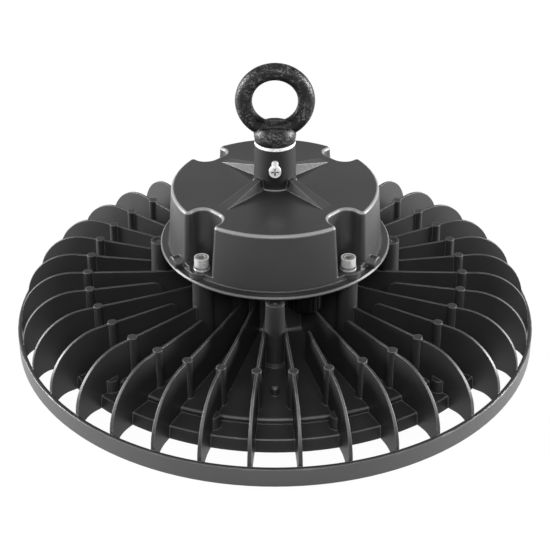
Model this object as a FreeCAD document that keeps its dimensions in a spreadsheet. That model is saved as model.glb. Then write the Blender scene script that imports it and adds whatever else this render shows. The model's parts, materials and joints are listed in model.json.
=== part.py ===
"""High bay light: a finned die-cast heatsink carrying an LED engine below and a driver housing above.

The light's axis is Z. It rests on the lower edge of its outer ring at Z = 0, and the locking screw
of the hanging eye points to -Y, the front. Angles are in degrees, anticlockwise from +X seen from
above. All lengths are in millimetres.
"""
import FreeCAD, Part
import math
import os
from collections import namedtuple

import Sketcher
from FreeCAD import Placement, Rotation, Vector

FRONT = 270

SIZES = {
    # outer ring of the heatsink
    "ring_radius": 155, "ring_wall": 2.4, "ring_height": 11.2, "ring_edge": 0.5,
    # base plate: the rim takes the lens plate, the raised disc carries the LED board underneath
    "rim_radius": 135.8, "rim_draft": 0.9, "rim_under": 8.2, "rim_top": 16, "rim_bevel": 0.5,
    "disc_radius": 122.4, "disc_top": 19.2, "disc_edge": 1.6,
    "chamber_radius": 117, "chamber_roof": 14.8,
    # fins
    "fin_count": 36, "fin_top_width": 1.3, "fin_root_width": 2.5, "fin_draft_foot": 8.2,
    "fin_peak": 42.6, "fin_inner_height": 40.9, "fin_inner": 69, "fin_inner_corner": 5,
    "fin_reach": 31.6, "fin_belly_reach": 12.1, "fin_belly_foot": 0.8, "fin_belly": 12.4,
    "ejector_radius": 111.3, "ejector_width": 5.4, "ejector_taper": 0.4, "ejector_top": 42.9,
    # screw bosses on the rim and the small domed stubs on the disc
    "boss_circle": 127.7, "boss_width": 7.9, "boss_foot_width": 8.8, "boss_top": 23.5, "boss_count": 12,
    "stub_circle": 99.6, "stub_width": 4.6, "stub_height": 3.4,
    # hub, pillars and rest posts
    "hub_radius": 38, "hub_top_radius": 36.6, "hub_top": 54, "hub_bore": 12, "hub_fillet": 3, "overlap": 1,
    "pillar_circle": 58.5, "pillar_width": 11.2, "pillar_taper": 0.7, "pillar_tap_depth": 17,
    "web_width": 6, "web_taper": 0.6, "web_drop": 5,
    "post_circle": 68.3, "post_width": 10.5, "post_foot_width": 12.8, "skirt_spread": 1.2, "skirt_height": 3,
    "post_dish": 7.4, "post_dish_depth": 0.8, "post_nub": 1.6,
    "seat_height": 58.8,
    # LED engine
    "board_radius": 112, "board_thickness": 1.6, "chip_width": 3, "chip_height": 0.7,
    "inner_row": 40, "middle_row": 70, "outer_row": 100,
    "inner_count": 12, "middle_count": 18, "outer_count": 24,
    "board_screw_circle": 55, "board_screw_outer": 108.5, "small_thread": 3, "small_head": 5.6,
    "small_head_height": 2, "small_screw_length": 4.6, "small_tap_depth": 3.6,
    "lens_radius": 132, "lens_thickness": 3.2, "lens_dome": 7.5, "lens_dome_depth": 3.6,
    "lens_recess": 7.9, "lens_recess_depth": 1.6, "lens_thread": 4, "lens_head": 7.2,
    "lens_head_height": 2.2, "lens_screw_length": 12, "lens_tap_depth": 11,
    "gasket_inner": 119.4, "gasket_width": 3, "gasket_depth": 1.5,
    # driver housing
    "flange_radius": 67.5, "flange_thickness": 2.1, "flange_bevel": 0.8,
    "cover_foot": 63.2, "cover_foot_height": 1, "cover_radius": 62.5, "cover_rim_radius": 60.1,
    "cover_rim_height": 96, "crown_rise": 2.2, "rim_round": 2.1,
    "cavity_radius": 59.4, "crown_wall": 3.7, "cavity_draft": 3.5, "notch_wall": 3,
    "notch_width": 19.2, "notch_depth": 48.4, "notch_corner": 6.5, "notch_draft": 1.2, "mouth_round": 2.4,
    "pad_rise": 3.5, "pad_width": 15, "pad_taper": 0.2,
    "gusset_reach": 38.6, "gusset_rise": 6.4, "gusset_top_width": 3.4, "gusset_foot_width": 8,
    "gusset_set_in": 0.6, "gusset_on_post": 0.4, "gusset_root": 3,
    "lug_angle": 29, "lug_radius": 4.6, "lug_rise": 0.7, "lug_setback": 0.3, "lug_round": 0.6,
    "hang_radius": 12.3, "hang_top_radius": 11.6, "hang_rise": 24.6, "hang_core": 13, "hang_core_rise": 2.8,
    "post_foot_round": 0.8, "buried": 2, "past": 5,
    "lip_wall": 1.8, "lip_height": 2.6, "seal_width": 1.6, "seal_depth": 1.1, "seal_offset": 0.8,
    # fasteners of the housing
    "main_thread": 5, "main_clearance": 5.6, "main_head": 8.5, "main_head_height": 5, "main_length": 18,
    "main_socket": 4, "flat_width": 9.4, "flat_thickness": 1, "spring_width": 8.9, "spring_thickness": 1.4,
    "spring_split": 0.9, "thread_play": 0.1, "washer_play": 0.3,
    # hanging eye
    "eye_thread": 10, "eye_tap_depth": 19, "eye_length": 17, "eye_washer_radius": 11.7,
    "eye_washer_thickness": 1.9, "eye_rise": 24.1, "eye_loop": 17.65, "eye_bar": 4.85,
    "collar_radius": 11.3, "collar_belly": 12.1, "collar_shoulder": 9.6, "collar_height": 9.2,
    "collar_middle": 4.2, "collar_lower_curve": 11.6, "collar_upper_curve": 6.4, "eye_tip": 0.8,
    "lock_drop": 7.5, "lock_thread": 4, "lock_reach": 19.8, "lock_head": 6.8, "lock_head_height": 2.6,
    "cross_reach": 2.2, "cross_half_width": 0.45,
    # cable gland and breather
    "gland_circle": 51.2, "gland_angle": 289, "gland_thread": 12, "gland_hex": 17, "gland_flange": 3.6,
    "gland_nut_width": 19.4, "gland_nut_wall": 1.8, "gland_nut_height": 9,
    "gland_dome_width": 14.6, "gland_dome_height": 2.4,
    "gland_bore": 8.2, "cable_bore": 7, "gland_grooves": 18, "gland_groove_width": 1,
    "gland_groove_depth": 0.6, "gland_lip": 1.2, "seal_play": 0.1,
    "vent_angle": 251, "vent_thread": 10, "vent_flange_width": 15, "vent_flange": 2.6,
    "vent_cap_width": 12, "vent_cap_taper": 0.8, "vent_cap_height": 4.4, "vent_slot": 1.2,
    "ring_thickness": 1.2, "ring_overlap": 1.6, "locknut_height": 3.4, "locknut_extra": 3,
    "spotface_play": 0.35, "thread_length": 7,
    # driver
    "driver_radius": 41.5, "driver_thickness": 1.6, "driver_rise": 7.5, "standoff_circle": 37,
    "standoff_width": 6.4, "core_width": 27, "core_height": 19, "core_depth": 9, "core_leg": 7,
    "core_yoke": 3.6, "winding_side": 5, "capacitor_width": 16, "capacitor_height": 20,
    "choke_loop": 7, "choke_bar": 3.6, "terminal_length": 16, "terminal_depth": 9, "terminal_height": 11,
    "terminal_well": 3.2, "terminal_well_depth": 4, "capacitor_row": 23, "capacitor_gap": 3, "choke_row": 25,
    "terminal_row": 27,
    "lead_width": 5, "lead_play": 0.2, "grommet_flange": 18, "grommet_depth": 8, "grommet_spigot": 3.4,
    "base_hole": 14,
}


class Size:
    """A length with its present value and the formula on the sheet that gives it."""

    def __init__(self, value, formula):
        self.value = float(value)
        self.formula = formula

    def __add__(self, other):
        return Size(self.value + number(other), f"({self.formula} + {text(other)})")

    def __radd__(self, other):
        return Size(number(other) + self.value, f"({text(other)} + {self.formula})")

    def __sub__(self, other):
        return Size(self.value - number(other), f"({self.formula} - {text(other)})")

    def __rsub__(self, other):
        return Size(number(other) - self.value, f"({text(other)} - {self.formula})")

    def __mul__(self, other):
        return Size(self.value * number(other), f"({self.formula} * {text(other)})")

    __rmul__ = __mul__

    def __truediv__(self, other):
        return Size(self.value / number(other), f"({self.formula} / {text(other)})")

    def __rtruediv__(self, other):
        return Size(number(other) / self.value, f"({text(other)} / {self.formula})")

    def __neg__(self):
        return Size(-self.value, f"(-1 * {self.formula})")


def number(size):
    return size.value if isinstance(size, Size) else float(size)


def text(size):
    return size.formula if isinstance(size, Size) else repr(round(float(size), 6))


def root(size):
    return Size(math.sqrt(size.value), f"sqrt({size.formula})")


def polar(radius, angle):
    """The x and y of a point on a circle about the light's axis."""
    if isinstance(angle, Size):
        cosine = Size(math.cos(math.radians(angle.value)), f"cos({angle.formula})")
        sine = Size(math.sin(math.radians(angle.value)), f"sin({angle.formula})")
        return radius * cosine, radius * sine
    return radius * math.cos(math.radians(angle)), radius * math.sin(math.radians(angle))


doc = FreeCAD.newDocument("high_bay_light")
sheet = doc.addObject("Spreadsheet::Sheet", "sizes")
for row, (alias, value) in enumerate(SIZES.items(), start=1):
    sheet.set(f"A{row}", alias)
    sheet.set(f"B{row}", str(value))
    sheet.setAlias(f"B{row}", alias)
doc.recompute()
s = namedtuple("Sizes", SIZES)(*(Size(value, f"sizes.{alias}") for alias, value in SIZES.items()))

# heights and places that several pieces share
BASE_TOP = s.seat_height + s.flange_thickness
BOARD_UNDER = s.chamber_roof - s.board_thickness
LENS_UNDER = s.rim_under - s.lens_thickness
CROWN = s.cover_rim_height + s.crown_rise
GUSSET_TOP = CROWN + s.gusset_rise
HANG_TOP = CROWN + s.hang_rise
LOCK_HEIGHT = HANG_TOP - s.lock_drop
WASHER_TOP = HANG_TOP + s.eye_washer_thickness
EYE_HEIGHT = WASHER_TOP + s.eye_rise
PAD_TOP = BASE_TOP + s.pad_rise
SPRING_TOP = PAD_TOP + s.flat_thickness + s.spring_thickness
LUG_HEIGHT = BASE_TOP + s.lug_rise
DRIVER_FOOT = BASE_TOP + s.driver_rise
DRIVER_TOP = DRIVER_FOOT + s.driver_thickness
RING_UNDER = s.seat_height - s.ring_thickness
# half the angle between two flats of a hexagon, and how near two places count as one
TO_FLAT = 30
TOUCH = 0.05
GLAND = polar(s.gland_circle, s.gland_angle)
VENT = polar(s.gland_circle, s.vent_angle)
HALF_PITCH = 180 / s.fin_count
LED_ROWS = ((s.inner_row, s.inner_count), (s.middle_row, s.middle_count), (s.outer_row, s.outer_count))
BOARD_SCREW_ROWS = ((s.board_screw_circle, 45), (s.board_screw_outer, 0))


# ---------------------------------------------------------------- sketches and features

def bind(thing, path, size):
    """Ties a property to the sheet."""
    thing.setExpression(path, text(size))


def new_body(name, pieces=1):
    """A body of one solid, or a group of identical loose pieces."""
    body = doc.addObject("PartDesign::Body", name)
    body.Label = name
    body.AllowCompound = pieces > 1
    return body


def attach(thing, body, role, height=0, turn=0, x=0, y=0):
    """Lays a sketch or primitive on the body's own plane, moved off it and turned about the light's axis."""
    plane = next(f for f in body.Origin.OriginFeatures if f.Role == role)
    thing.AttachmentSupport = [(plane, "")]
    thing.MapMode = "FlatFace"
    axis = Vector(0, 0, 1) if role == "XY_Plane" else Vector(0, 1, 0)
    place = Vector(number(x), number(y), number(height))
    thing.AttachmentOffset = Placement(place, Rotation(axis, number(turn)))
    for path, size in (("Base.x", x), ("Base.y", y), ("Base.z", height)):
        bind(thing, f"AttachmentOffset.{path}", size)
    if isinstance(turn, Size):
        bind(thing, "AttachmentOffset.Rotation.Angle", turn)


def new_sketch(body, name, role="XY_Plane", height=0, turn=0, x=0, y=0):
    drawing = body.newObject("Sketcher::SketchObject", name)
    attach(drawing, body, role, height, turn, x, y)
    return drawing


# A corner of an outline. A straight line leads to it, or with a radius an arc that turns to its
# left or right.
To = namedtuple("To", "x y radius side", defaults=(None, None))


def arc_between(start, end, radius, side):
    """The arc under half a turn from start to end, always drawn anticlockwise as sketches want it."""
    across = end - start
    middle = (start + end) / 2
    reach = math.sqrt(max(radius ** 2 - across.Length ** 2 / 4, 0))
    normal = Vector(-across.y, across.x, 0).normalize()
    centre = middle + normal * (reach if side == "left" else -reach)
    first, last = (start, end) if side == "left" else (end, start)
    begin = math.atan2(first.y - centre.y, first.x - centre.x)
    finish = math.atan2(last.y - centre.y, last.x - centre.x)
    if finish < begin:
        finish += 2 * math.pi
    return Part.ArcOfCircle(Part.Circle(centre, Vector(0, 0, 1), radius), begin, finish)


def point_rules(edge, end, x, y):
    """Places a point of a sketch, each coordinate by its own dimension or on the axis."""
    rules = []
    for kind, axis, size in (("DistanceX", -2, x), ("DistanceY", -1, y)):
        if not isinstance(size, Size) and size == 0:
            rules.append((Sketcher.Constraint("PointOnObject", edge, end, axis), None))
        else:
            rules.append((Sketcher.Constraint(kind, -1, 1, edge, end, number(size)), size))
    return rules


def add_rules(drawing, rules):
    """Adds the constraints to a sketch in one go and ties their dimensions to the sheet."""
    first = drawing.ConstraintCount
    drawing.addConstraint([rule for rule, _ in rules])
    for index, (_, size) in enumerate(rules, start=first):
        if isinstance(size, Size):
            bind(drawing, f"Constraints[{index}]", size)


def draw(drawing, path):
    """Draws a closed outline through the corners of path."""
    points = [Vector(number(corner.x), number(corner.y), 0) for corner in path]
    first = drawing.GeometryCount
    edges, rules = [], []
    for index, corner in enumerate(path):
        start, end = points[index - 1], points[index]
        if corner.radius is None:
            edges.append(Part.LineSegment(start, end))
        else:
            edges.append(arc_between(start, end, number(corner.radius), corner.side))
            rule = Sketcher.Constraint("Radius", first + index, number(corner.radius))
            rules.append((rule, corner.radius))
    drawing.addGeometry(edges, False)
    for index, corner in enumerate(path):
        after = (index + 1) % len(path)
        finish = 1 if corner.side == "right" else 2
        begin = 2 if path[after].side == "right" else 1
        rules.append((Sketcher.Constraint("Coincident", first + index, finish, first + after, begin), None))
        rules += point_rules(first + index, finish, corner.x, corner.y)
    add_rules(drawing, rules)


def draw_circle(drawing, radius, x=0, y=0):
    circle = Part.Circle(Vector(number(x), number(y), 0), Vector(0, 0, 1), number(radius))
    edge = drawing.addGeometry(circle, False)
    rule = Sketcher.Constraint("Radius", edge, number(radius))
    add_rules(drawing, point_rules(edge, 3, x, y) + [(rule, radius)])


def draw_box(drawing, left, right, bottom, top):
    draw(drawing, [To(left, bottom), To(right, bottom), To(right, top), To(left, top)])


def turned(body, name, path, cut=False):
    """A turned form: the outline in (radius, height) goes once round the light's axis."""
    drawing = new_sketch(body, name + "_profile", "XZ_Plane")
    draw(drawing, path)
    feature = body.newObject("PartDesign::Groove" if cut else "PartDesign::Revolution", name)
    feature.Profile = drawing
    feature.ReferenceAxis = (drawing, ["V_Axis"])
    feature.Angle = 360
    return feature


def pad(body, drawing, name, length, draft=0, both_sides=False):
    feature = body.newObject("PartDesign::Pad", name)
    feature.Profile = drawing
    feature.SideType = "Symmetric" if both_sides else "One side"
    bind(feature, "Length", length)
    bind(feature, "TaperAngle", draft)
    return feature


def pocket(body, drawing, name, length, draft=0, upward=False, both_sides=False):
    feature = body.newObject("PartDesign::Pocket", name)
    feature.Profile = drawing
    feature.SideType = "Symmetric" if both_sides else "One side"
    feature.Reversed = upward
    bind(feature, "Length", length)
    bind(feature, "TaperAngle", draft)
    return feature


def cylinder(body, name, radius, height, x=0, y=0, z=0, cut=False, role="XY_Plane"):
    """A round peg or hole that starts on the plane at height z and goes along the plane's normal."""
    kind = "Subtractive" if cut else "Additive"
    feature = body.newObject(f"PartDesign::{kind}Cylinder", name)
    attach(feature, body, role, z, 0, x, y)
    bind(feature, "Radius", radius)
    bind(feature, "Height", height)
    return feature


def cone(body, name, foot_radius, top_radius, height, x=0, y=0, z=0):
    feature = body.newObject("PartDesign::AdditiveCone", name)
    attach(feature, body, "XY_Plane", z, 0, x, y)
    bind(feature, "Radius1", foot_radius)
    bind(feature, "Radius2", top_radius)
    bind(feature, "Height", height)
    return feature


def ball(body, name, radius, x, y, z):
    feature = body.newObject("PartDesign::AdditiveSphere", name)
    attach(feature, body, "XY_Plane", z, 0, x, y)
    bind(feature, "Radius", radius)
    return feature


def hexagon(body, name, across_flats, height, x=0, y=0, z=0, turn=0, cut=False):
    kind = "Subtractive" if cut else "Additive"
    feature = body.newObject(f"PartDesign::{kind}Prism", name)
    attach(feature, body, "XY_Plane", z, turn, x, y)
    feature.Polygon = 6
    bind(feature, "Circumradius", across_flats / math.sqrt(3))
    bind(feature, "Height", height)
    return feature


def around(body, name, features, count, axis=None):
    """Repeats features evenly round the light's axis, or round another given line."""
    pattern = body.newObject("PartDesign::PolarPattern", name)
    pattern.Originals = features
    line = next(f for f in body.Origin.OriginFeatures if f.Role == "Z_Axis")
    pattern.Axis = axis or (line, [""])
    pattern.Angle = 360
    pattern.Occurrences = int(number(count))
    if isinstance(count, Size):
        bind(pattern, "Occurrences", count)
    body.Tip = pattern
    return pattern


def quarter_turns(path):
    """The same stretch of outline four times, turned by 90 degrees each time."""
    whole = []
    for _ in range(4):
        whole += path
        path = [To(-corner.y, corner.x, corner.radius, corner.side) for corner in path]
    return whole


def notched_circle(radius, depth, half_width, corner):
    """A circle with a round-cornered notch at each quarter, as the cover's wall runs round its screws."""
    mouth = root(radius * radius - half_width * half_width)
    return quarter_turns([
        To(mouth, -half_width, radius, "left"),
        To(depth + corner, -half_width),
        To(depth, corner - half_width, corner, "right"),
        To(depth, half_width - corner),
        To(depth + corner, half_width, corner, "right"),
        To(mouth, half_width),
    ])


def inner_wall_line(offset):
    """The cover's inner wall at its foot, moved outwards into the wall by offset."""
    return notched_circle(
        s.cavity_radius + offset,
        s.notch_depth - s.notch_wall + offset,
        s.notch_width / 2 + s.notch_wall - offset,
        s.notch_corner + s.notch_wall - offset,
    )


# ---------------------------------------------------------------- heatsink casting

def fin_width(height):
    """A fin thins evenly from its root to its top edge, for release from the die."""
    rise = (height - s.fin_draft_foot) / (s.fin_peak - s.fin_draft_foot)
    return s.fin_root_width - (s.fin_root_width - s.fin_top_width) * rise


def fin_blade(body, name, angle, inner, outer, foot, top):
    """A drafted blade that stands on edge and points away from the axis."""
    blade = body.newObject("PartDesign::AdditiveWedge", name)
    attach(blade, body, "XZ_Plane", turn=angle)
    for path, size in (
        ("Xmin", inner), ("Xmax", outer), ("X2min", inner), ("X2max", outer),
        ("Ymin", foot), ("Ymax", top),
        ("Zmin", fin_width(foot) / -2), ("Zmax", fin_width(foot) / 2),
        ("Z2min", fin_width(top) / -2), ("Z2max", fin_width(top) / 2),
    ):
        bind(blade, path, size)
    return blade


def outer_fins(body):
    """Every fin from just outside the hub to the ring, trimmed to its rounded back and hollow belly."""
    ring_inner = s.ring_radius - s.ring_wall
    buried = s.rim_top - s.overlap
    blade = fin_blade(body, "fin_blade", HALF_PITCH, s.fin_inner, ring_inner + s.ring_wall / 2,
                      s.fin_belly_foot, s.fin_peak)
    back = new_sketch(body, "fin_back_line", "XZ_Plane", turn=HALF_PITCH)
    beyond = s.ring_radius + s.past
    within = s.fin_inner - s.overlap
    draw(back, [
        To(within, s.fin_peak + s.overlap),
        To(within, s.fin_inner_height - s.fin_inner_corner),
        To(s.fin_inner, s.fin_inner_height - s.fin_inner_corner),
        To(s.fin_inner + s.fin_inner_corner, s.fin_inner_height, s.fin_inner_corner, "right"),
        To(ring_inner - s.fin_reach, s.fin_peak),
        To(ring_inner, s.ring_height, s.fin_peak - s.ring_height, "right"),
        To(beyond, s.ring_height),
        To(beyond, s.fin_peak + s.overlap),
    ])
    belly = new_sketch(body, "fin_belly_line", "XZ_Plane", turn=HALF_PITCH)
    draw(belly, [
        To(within, s.fin_belly_foot - s.overlap),
        To(ring_inner, s.fin_belly_foot - s.overlap),
        To(ring_inner, s.fin_belly_foot),
        To(ring_inner - s.fin_belly_reach, s.rim_under, s.fin_belly, "left"),
        To(s.rim_radius - s.overlap, s.rim_under),
        To(s.rim_radius - s.overlap, buried),
        To(within, buried),
    ])
    slab = s.fin_root_width + s.overlap
    back_cut = pocket(body, back, "fin_back", slab, both_sides=True)
    belly_cut = pocket(body, belly, "fin_belly", slab, both_sides=True)
    around(body, "fins", [blade, back_cut, belly_cut], s.fin_count)
    x, y = polar(s.ejector_radius, HALF_PITCH)
    ejector = cone(body, "ejector_boss", s.ejector_width / 2 + s.ejector_taper, s.ejector_width / 2,
                   s.ejector_top - buried, x, y, buried)
    around(body, "ejector_bosses", [ejector], s.fin_count)


def fin_roots(body):
    """Some fins run on to the hub beside the posts and pillars, and those on the diagonals to a pillar."""
    foot = s.disc_top - s.overlap
    beyond = s.fin_inner + s.fin_inner_corner + s.overlap
    inside_hub = s.hub_top_radius - s.buried
    for place in (1, 5, 13, 17):
        long_fin = fin_blade(body, f"fin_root_{place}", HALF_PITCH * place, inside_hub, beyond, foot,
                             s.fin_inner_height)
        around(body, f"fin_roots_{place}", [long_fin], 4)
    diagonal = fin_blade(body, "fin_root_diagonal", 45, s.pillar_circle, beyond, foot, s.fin_inner_height)
    around(body, "fin_roots_diagonal", [diagonal], 4)
    fin_blade(body, "fin_root_under_vent", HALF_PITCH * 51, inside_hub, beyond, foot, s.fin_inner_height)


def plate_and_hub(body):
    bore = s.hub_bore / 2
    gasket_outer = s.gasket_inner + s.gasket_width
    turned(body, "plate", [
        To(bore, s.chamber_roof),
        To(s.chamber_radius, s.chamber_roof),
        To(s.chamber_radius, s.rim_under),
        To(s.gasket_inner, s.rim_under),
        To(s.gasket_inner, s.rim_under + s.gasket_depth),
        To(gasket_outer, s.rim_under + s.gasket_depth),
        To(gasket_outer, s.rim_under),
        To(s.rim_radius + s.rim_draft, s.rim_under),
        To(s.rim_radius, s.rim_top - s.rim_bevel),
        To(s.rim_radius - s.rim_bevel, s.rim_top),
        To(s.disc_radius, s.rim_top),
        To(s.disc_radius, s.disc_top - s.disc_edge),
        To(s.disc_radius - s.disc_edge, s.disc_top, s.disc_edge, "left"),
        To(s.hub_radius + s.hub_fillet, s.disc_top),
        To(s.hub_radius, s.disc_top + s.hub_fillet, s.hub_fillet, "right"),
        To(s.hub_top_radius, s.hub_top),
        To(bore, s.hub_top),
    ])


def pillars(body):
    """Four pillars take the housing's screws; a web ties each to the hub."""
    foot = s.disc_top - s.overlap
    x, y = polar(s.pillar_circle, 45)
    pillar = cone(body, "pillar", s.pillar_width / 2 + s.pillar_taper, s.pillar_width / 2,
                  s.seat_height - foot, x, y, foot)
    around(body, "pillars", [pillar], 4)
    web = body.newObject("PartDesign::AdditiveWedge", "pillar_web")
    attach(web, body, "XZ_Plane", turn=45)
    top = s.seat_height - s.web_drop
    for path, size in (
        ("Xmin", s.hub_top_radius - s.buried), ("Xmax", s.pillar_circle),
        ("X2min", s.hub_top_radius - s.buried), ("X2max", s.pillar_circle),
        ("Ymin", foot), ("Ymax", top),
        ("Zmin", s.web_width / -2), ("Zmax", s.web_width / 2),
        ("Z2min", s.web_taper - s.web_width / 2), ("Z2max", s.web_width / 2 - s.web_taper),
    ):
        bind(web, path, size)
    around(body, "pillar_webs", [web], 4)
    tap = cylinder(body, "pillar_tap", s.main_thread / 2, s.pillar_tap_depth, x, y,
                   s.seat_height - s.pillar_tap_depth, cut=True)
    around(body, "pillar_taps", [tap], 4)


def rest_posts(body):
    """Four posts steady the housing's flange. Each ends in a shallow dish with a centre nub."""
    foot = s.disc_top - s.overlap
    x, y = s.post_circle, 0
    post = cone(body, "post", s.post_foot_width / 2, s.post_width / 2, s.seat_height - foot, x, y, foot)
    skirt = cone(body, "post_skirt", s.post_foot_width / 2 + s.skirt_spread, s.post_foot_width / 2,
                 s.skirt_height, x, y, foot)
    around(body, "posts", [post, skirt], 4)
    floor = s.seat_height - s.post_dish_depth
    dish = cylinder(body, "post_dish", s.post_dish / 2, s.post_dish_depth, x, y, floor, cut=True)
    around(body, "post_dishes", [dish], 4)
    nub = cylinder(body, "post_nub", s.post_nub / 2, s.post_dish_depth / 2 + s.overlap, x, y,
                   floor - s.overlap)
    around(body, "post_nubs", [nub], 4)


def plate_bosses(body):
    """Blind bosses over the lens screws, each astride a fin, and a domed stub before each post."""
    foot = s.rim_top - s.overlap
    x, y = polar(s.boss_circle, 15)
    boss = cone(body, "lens_boss", s.boss_foot_width / 2, s.boss_width / 2, s.boss_top - foot, x, y, foot)
    around(body, "lens_bosses", [boss], s.boss_count)
    stub = cylinder(body, "stub", s.stub_width / 2, s.stub_height + s.overlap, s.stub_circle, 0,
                    s.disc_top - s.overlap)
    dome = ball(body, "stub_dome", s.stub_width / 2, s.stub_circle, 0, s.disc_top + s.stub_height)
    around(body, "stubs", [stub, dome], 4)
    for index, (circle, angle) in enumerate(BOARD_SCREW_ROWS):
        x, y = polar(circle, angle)
        tap = cylinder(body, f"board_tap_{index}", s.small_thread / 2, s.small_tap_depth, x, y,
                       s.chamber_roof, cut=True)
        around(body, f"board_taps_{index}", [tap], 4)


def lens_taps(body):
    """Cut with the fins on, as the lens screws' taps run up into them."""
    x, y = polar(s.boss_circle, 15)
    tap = cylinder(body, "lens_tap", s.lens_thread / 2, s.lens_tap_depth, x, y, s.rim_under, cut=True)
    around(body, "lens_taps", [tap], s.boss_count)


def fin_ring():
    """The outer ring and the fins, joined to the rest of the casting below."""
    body = new_body("fin_ring")
    inner = s.ring_radius - s.ring_wall
    edge = s.ring_edge
    turned(body, "ring", [
        To(inner, 0),
        To(s.ring_radius - edge, 0),
        To(s.ring_radius, edge, edge, "left"),
        To(s.ring_radius, s.ring_height - edge),
        To(s.ring_radius - edge, s.ring_height, edge, "left"),
        To(inner, s.ring_height),
    ])
    outer_fins(body)
    return body


def heatsink():
    fins = fin_ring()
    body = new_body("heatsink")
    plate_and_hub(body)
    plate_bosses(body)
    rest_posts(body)
    pillars(body)
    fin_roots(body)
    join = body.newObject("PartDesign::Boolean", "join_fins")
    join.Type = "Fuse"
    join.addObjects([fins])
    lens_taps(body)


# ---------------------------------------------------------------- LED engine

def led_board():
    body = new_body("led_board")
    hole = (s.lead_width + s.lead_play * 2) / 2
    turned(body, "disc", [
        To(hole, BOARD_UNDER), To(s.board_radius, BOARD_UNDER),
        To(s.board_radius, s.chamber_roof), To(hole, s.chamber_roof),
    ])
    for index, (circle, angle) in enumerate(BOARD_SCREW_ROWS):
        x, y = polar(circle, angle)
        hole = cylinder(body, f"screw_hole_{index}", s.small_thread / 2 + s.thread_play, s.board_thickness,
                        x, y, BOARD_UNDER, cut=True)
        around(body, f"screw_holes_{index}", [hole], 4)


def led_chips():
    body = new_body("led_chips", pieces=4)
    half = s.chip_width / 2
    for index, (circle, count) in enumerate(LED_ROWS):
        drawing = new_sketch(body, f"chip_outline_{index}", height=BOARD_UNDER - s.chip_height)
        draw_box(drawing, circle - half, circle + half, -half, half)
        chip = pad(body, drawing, f"chip_{index}", s.chip_height)
        around(body, f"chip_row_{index}", [chip], count)


def small_screw(body, name, x, y, seat, head_up):
    """A pan head screw M3, its head on the seat and its shank through it."""
    shank = s.small_screw_length
    head_foot = seat if head_up else seat - s.small_head_height
    shank_foot = seat - shank if head_up else seat
    return [
        cylinder(body, f"{name}_head", s.small_head / 2, s.small_head_height, x, y, head_foot),
        cylinder(body, f"{name}_shank", (s.small_thread - s.thread_play) / 2, shank, x, y, shank_foot),
    ]


def board_screws():
    body = new_body("board_screws", pieces=4)
    for index, (circle, angle) in enumerate(BOARD_SCREW_ROWS):
        x, y = polar(circle, angle)
        around(body, f"row_{index}", small_screw(body, f"screw_{index}", x, y, BOARD_UNDER, False), 4)


def lens_plate():
    """The optical plate: flat, with a recess round each screw and a dome under each LED."""
    body = new_body("lens_plate")
    drawing = new_sketch(body, "plate_outline", height=LENS_UNDER)
    draw_circle(drawing, s.lens_radius)
    pad(body, drawing, "plate", s.lens_thickness)
    x, y = polar(s.boss_circle, 15)
    recess = cylinder(body, "recess", s.lens_recess / 2, s.lens_recess_depth, x, y, LENS_UNDER, cut=True)
    hole = cylinder(body, "hole", s.lens_thread / 2 + s.thread_play, s.lens_thickness, x, y, LENS_UNDER,
                    cut=True)
    around(body, "screw_places", [recess, hole], s.boss_count)
    for index, (circle, count) in enumerate(LED_ROWS):
        dome = cone(body, f"dome_{index}", s.lens_dome / 2, s.lens_dome, s.lens_dome_depth,
                    circle, 0, LENS_UNDER - s.lens_dome_depth)
        around(body, f"dome_row_{index}", [dome], count)


def lens_gasket():
    body = new_body("lens_gasket")
    outer = s.gasket_inner + s.gasket_width
    top = s.rim_under + s.gasket_depth
    turned(body, "ring", [
        To(s.gasket_inner, s.rim_under), To(outer, s.rim_under), To(outer, top), To(s.gasket_inner, top),
    ])


def lens_screws():
    body = new_body("lens_screws", pieces=4)
    x, y = polar(s.boss_circle, 15)
    seat = LENS_UNDER + s.lens_recess_depth
    head = cylinder(body, "head", s.lens_head / 2, s.lens_head_height, x, y, seat - s.lens_head_height)
    shank = cylinder(body, "shank", (s.lens_thread - s.thread_play) / 2, s.lens_screw_length, x, y, seat)
    around(body, "screws", [head, shank], s.boss_count)


# ---------------------------------------------------------------- driver housing

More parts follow.
